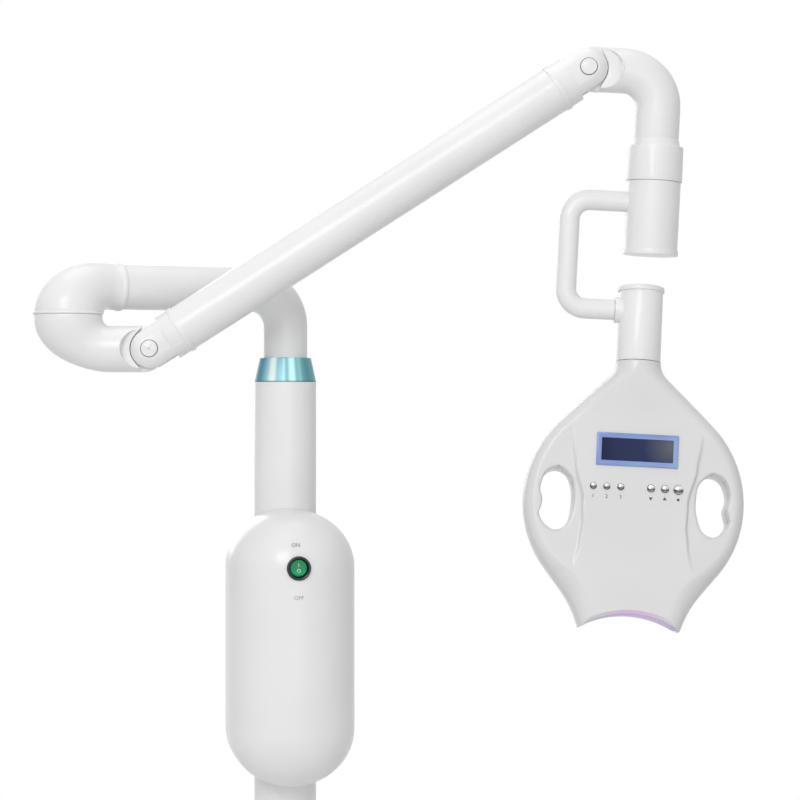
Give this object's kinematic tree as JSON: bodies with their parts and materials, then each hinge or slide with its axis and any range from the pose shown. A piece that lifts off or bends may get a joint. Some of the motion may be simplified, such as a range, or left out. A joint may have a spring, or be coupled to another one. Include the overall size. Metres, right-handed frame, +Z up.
{
  "type": "teeth whitening lamp",
  "caption": "Wheeled floor lamp for whitening teeth: a flat head with display, keys and grips on a jointed arm above a column with a power housing.",
  "frame": {"origin": "on the floor, on the axis of the round column", "axes": "+Z up along the column, -Y towards the front with the rocker switch and the display, +X to the viewer's right"},
  "size_m": [0.7139, 0.5704, 1.3779],
  "materials": {
    "white_steel": "gloss white powder coat on steel",
    "cast_iron": "black cast ballast",
    "white_alloy": "gloss white paint on aluminium",
    "white_plastic": "gloss white moulding",
    "teal_collar": "polished, teal anodised",
    "steel": "bright zinc plate",
    "chrome": "polished",
    "nylon": "natural nylon",
    "black_plastic": "black",
    "green_rocker": "translucent green",
    "wheel_rubber": "grey-black tread",
    "blue_frame": "periwinkle blue",
    "dark_glass": "dark blue display cover",
    "board": "green circuit board",
    "lens": "frosted clear lens",
    "sink_alloy": "bare extrusion"
  },
  "bodies": {
    "stand": {"base_star": "white_steel", "ballast_plate": "cast_iron", "hub_cover": "white_steel", "lower_column": "white_steel", "neck_tube": "white_steel", "column_coupler": "steel", "housing_front": "white_plastic", "housing_rear": "white_plastic", "housing_bracket": "steel", "power_supply": "steel", "housing_screws": "steel", "power_inlet": "black_plastic", "switch_bezel": "black_plastic", "swivel_bush": "nylon", "collar_ring": "teal_collar"},
    "rocker": {"rocker": "green_rocker"},
    "link": {"link_spigot": "steel", "link_tube": "white_alloy", "upper_swivel_elbow": "white_alloy"},
    "fore_arm": {"lower_swivel_elbow": "white_alloy", "swivel_washer": "nylon", "swivel_bolt": "steel"},
    "arm": {"lower_fork": "white_alloy", "upper_fork": "white_alloy", "arm_tube": "white_alloy", "pivot_pins": "steel", "friction_discs": "nylon"},
    "drop": {"drop_elbow": "white_alloy", "drop_collar": "white_alloy", "drop_bush": "nylon"},
    "handle": {"drop_tube": "white_alloy", "drop_cap": "white_alloy", "c_handle": "white_alloy"},
    "head": {"head_stem": "white_alloy", "stem_cap": "white_alloy", "head_front": "white_plastic", "head_rear": "white_plastic", "head_screws": "steel", "lcd_frame": "blue_frame", "lcd_glass": "dark_glass", "control_board": "board", "led_board": "board", "light_window": "lens", "heat_sink": "sink_alloy"},
    "caster_1": {"caster_body_1": "steel"},
    "wheels_1": {"caster_wheels_1": "wheel_rubber"},
    "caster_2": {"caster_body_2": "steel"},
    "wheels_2": {"caster_wheels_2": "wheel_rubber"},
    "caster_3": {"caster_body_3": "steel"},
    "wheels_3": {"caster_wheels_3": "wheel_rubber"},
    "caster_4": {"caster_body_4": "steel"},
    "wheels_4": {"caster_wheels_4": "wheel_rubber"},
    "caster_5": {"caster_body_5": "steel"},
    "wheels_5": {"caster_wheels_5": "wheel_rubber"},
    "key_1": {"button_1": "chrome"},
    "key_2": {"button_2": "chrome"},
    "key_3": {"button_3": "chrome"},
    "key_4": {"button_4": "chrome"},
    "key_5": {"button_5": "chrome"},
    "key_6": {"button_6": "chrome"}
  },
  "joints": [
    {"name": "column_swivel", "type": "hinge", "parent": "stand", "child": "link", "pos_m": [0, 0, 1.062], "axis": [0, 0, 1], "range_deg": [-170, 170]},
    {"name": "fold_swivel", "type": "hinge", "parent": "link", "child": "fore_arm", "pos_m": [-0.21767, -0.07178, 1.121], "axis": [0, 0, 1], "range_deg": [-180, 6]},
    {"name": "arm_pitch", "type": "hinge", "parent": "fore_arm", "child": "arm", "pos_m": [-0.13912, -0.08464, 1.089], "axis": [-0.1616, -0.9869, 0], "range_deg": [-25, 17]},
    {"name": "drop_pitch", "type": "hinge", "parent": "arm", "child": "drop", "pos_m": [0.27317, -0.15216, 1.3569], "axis": [-0.1616, -0.9869, 0], "range_deg": [-30, 60]},
    {"name": "drop_swivel", "type": "hinge", "parent": "drop", "child": "handle", "pos_m": [0.33606, -0.16245, 1.24872], "axis": [0.0516, -0.0085, 0.9986], "range_deg": [-170, 170]},
    {"name": "head_tilt", "type": "hinge", "parent": "handle", "child": "head", "pos_m": [0.32324, -0.16035, 1.12493], "axis": [0.9855, -0.1614, -0.0523], "range_deg": [-45, 60]},
    {"name": "rocker_key", "type": "hinge", "parent": "stand", "child": "rocker", "pos_m": [0, -0.1068, 0.879], "axis": [1, 0, 0], "range_deg": [0, 14]},
    {"name": "caster_swivel_1", "type": "hinge", "parent": "stand", "child": "caster_1", "pos_m": [0, -0.265, 0.0625], "axis": [0, 0, 1], "continuous": true},
    {"name": "wheel_spin_1", "type": "hinge", "parent": "caster_1", "child": "wheels_1", "pos_m": [0, -0.284, 0.025], "axis": [1, 0, 0], "continuous": true},
    {"name": "caster_swivel_2", "type": "hinge", "parent": "stand", "child": "caster_2", "pos_m": [0.25203, -0.08189, 0.0625], "axis": [0, 0, 1], "continuous": true},
    {"name": "wheel_spin_2", "type": "hinge", "parent": "caster_2", "child": "wheels_2", "pos_m": [0.2701, -0.08776, 0.025], "axis": [0.309, 0.9511, 0], "continuous": true},
    {"name": "caster_swivel_3", "type": "hinge", "parent": "stand", "child": "caster_3", "pos_m": [0.15576, 0.21439, 0.0625], "axis": [0, 0, 1], "continuous": true},
    {"name": "wheel_spin_3", "type": "hinge", "parent": "caster_3", "child": "wheels_3", "pos_m": [0.16693, 0.22976, 0.025], "axis": [-0.809, 0.5878, 0], "continuous": true},
    {"name": "caster_swivel_4", "type": "hinge", "parent": "stand", "child": "caster_4", "pos_m": [-0.15576, 0.21439, 0.0625], "axis": [0, 0, 1], "continuous": true},
    {"name": "wheel_spin_4", "type": "hinge", "parent": "caster_4", "child": "wheels_4", "pos_m": [-0.16693, 0.22976, 0.025], "axis": [-0.809, -0.5878, 0], "continuous": true},
    {"name": "caster_swivel_5", "type": "hinge", "parent": "stand", "child": "caster_5", "pos_m": [-0.25203, -0.08189, 0.0625], "axis": [0, 0, 1], "continuous": true},
    {"name": "wheel_spin_5", "type": "hinge", "parent": "caster_5", "child": "wheels_5", "pos_m": [-0.2701, -0.08776, 0.025], "axis": [0.309, -0.9511, 0], "continuous": true},
    {"name": "key_slide_1", "type": "slide", "parent": "head", "child": "key_1", "axis": [0.1535, 0.9795, -0.1303], "range_m": [0, 0.001], "stiffness_N_per_m": 400, "springref_m": -0.0005},
    {"name": "key_slide_2", "type": "slide", "parent": "head", "child": "key_2", "axis": [0.1535, 0.9795, -0.1303], "range_m": [0, 0.001], "stiffness_N_per_m": 400, "springref_m": -0.0005},
    {"name": "key_slide_3", "type": "slide", "parent": "head", "child": "key_3", "axis": [0.1535, 0.9795, -0.1303], "range_m": [0, 0.001], "stiffness_N_per_m": 400, "springref_m": -0.0005},
    {"name": "key_slide_4", "type": "slide", "parent": "head", "child": "key_4", "axis": [0.1535, 0.9795, -0.1303], "range_m": [0, 0.001], "stiffness_N_per_m": 400, "springref_m": -0.0005},
    {"name": "key_slide_5", "type": "slide", "parent": "head", "child": "key_5", "axis": [0.1535, 0.9795, -0.1303], "range_m": [0, 0.001], "stiffness_N_per_m": 400, "springref_m": -0.0005},
    {"name": "key_slide_6", "type": "slide", "parent": "head", "child": "key_6", "axis": [0.1535, 0.9795, -0.1303], "range_m": [0, 0.001], "stiffness_N_per_m": 400, "springref_m": -0.0005}
  ]
}
